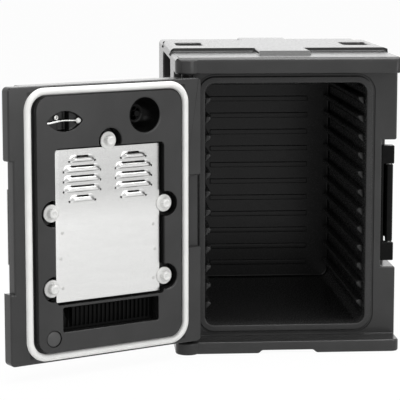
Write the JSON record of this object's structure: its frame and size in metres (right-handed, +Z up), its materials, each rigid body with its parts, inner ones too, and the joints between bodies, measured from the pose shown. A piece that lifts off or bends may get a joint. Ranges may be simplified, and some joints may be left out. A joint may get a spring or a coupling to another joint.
{
  "type": "hot cupboard",
  "caption": "Insulated front-loading hot cupboard with moulded pan runners, hand grips, a side latch and a hinged heated door behind whose louvred cover an element warms the cavity.",
  "frame": {"origin": "centre of the cabinet's base on the floor", "axes": "+Z up, front with the door opening towards -Y, +X to the right of a person facing it"},
  "size_m": [0.8307, 0.9092, 0.634],
  "materials": {
    "shell": "satin",
    "liner": "satin",
    "foam": "matte",
    "seal": "satin",
    "steel": "satin",
    "sheet": "satin",
    "element": "matte",
    "ceramic": "matte",
    "white_plastic": "gloss",
    "black_plastic": "satin",
    "control_plastic": "matte",
    "red_plastic": "gloss",
    "lamp": "gloss"
  },
  "bodies": {
    "cabinet": {"outer_shell": "shell", "inner_liner": "liner", "left_runners": "liner", "right_runners": "liner", "rear_ribs": "liner", "cabinet_foam": "foam", "rear_fill_plugs": "shell", "hinge_pin_top": "steel", "hinge_pin_bottom": "steel", "latch_base": "black_plastic", "latch_base_screws": "steel", "latch_pin": "steel"},
    "door": {"door_shell": "shell", "door_foam": "foam", "door_gasket": "seal", "hinge_bush_top": "black_plastic", "hinge_bush_bottom": "black_plastic", "latch_keeper": "steel", "keeper_screws": "steel", "heater_tray": "sheet", "heating_element": "element", "element_saddles": "sheet", "terminal_blocks": "ceramic", "thermal_cutout": "black_plastic", "heater_leads": "black_plastic", "heater_cover": "sheet", "cover_posts": "steel", "cover_thumbscrews": "white_plastic", "cover_rivets": "steel", "intake_grille": "liner", "temp_probe": "steel", "probe_screws": "steel", "door_fill_plug": "shell", "vent_guide": "black_plastic", "control_housing": "control_plastic", "control_panel": "control_plastic", "panel_screws": "steel", "thermostat_body": "control_plastic", "switch_frame": "black_plastic", "pilot_lamp": "lamp", "power_inlet": "black_plastic"},
    "latch_lever": {"latch_lever": "black_plastic"},
    "thermostat_knob": {"thermostat_knob": "black_plastic"},
    "power_switch": {"power_switch": "red_plastic"},
    "vent_cap": {"vent_cap": "black_plastic"}
  },
  "joints": [
    {"name": "door_hinge", "type": "hinge", "parent": "cabinet", "child": "door", "pos_m": [-0.212, -0.324, 0.309], "axis": [0, 0, -1], "range_deg": [-150.4, 54.6]},
    {"name": "latch_swing", "type": "hinge", "parent": "cabinet", "child": "latch_lever", "pos_m": [0.225, -0.262, 0.309], "axis": [0, 0, -1], "range_deg": [0, 180]},
    {"name": "thermostat_turn", "type": "hinge", "parent": "door", "child": "thermostat_knob", "pos_m": [-0.36562, -0.34916, 0.18], "axis": [-0.4939, 0.8695, 0], "range_deg": [0, 270]},
    {"name": "switch_rock", "type": "hinge", "parent": "door", "child": "power_switch", "pos_m": [-0.41747, -0.3915, 0.185], "axis": [-0.8695, -0.4939, 0], "range_deg": [-8, 8]},
    {"name": "vent_slide", "type": "slide", "parent": "door", "child": "vent_cap", "axis": [-0.4939, 0.8695, 0], "range_m": [0, 0.008]}
  ]
}
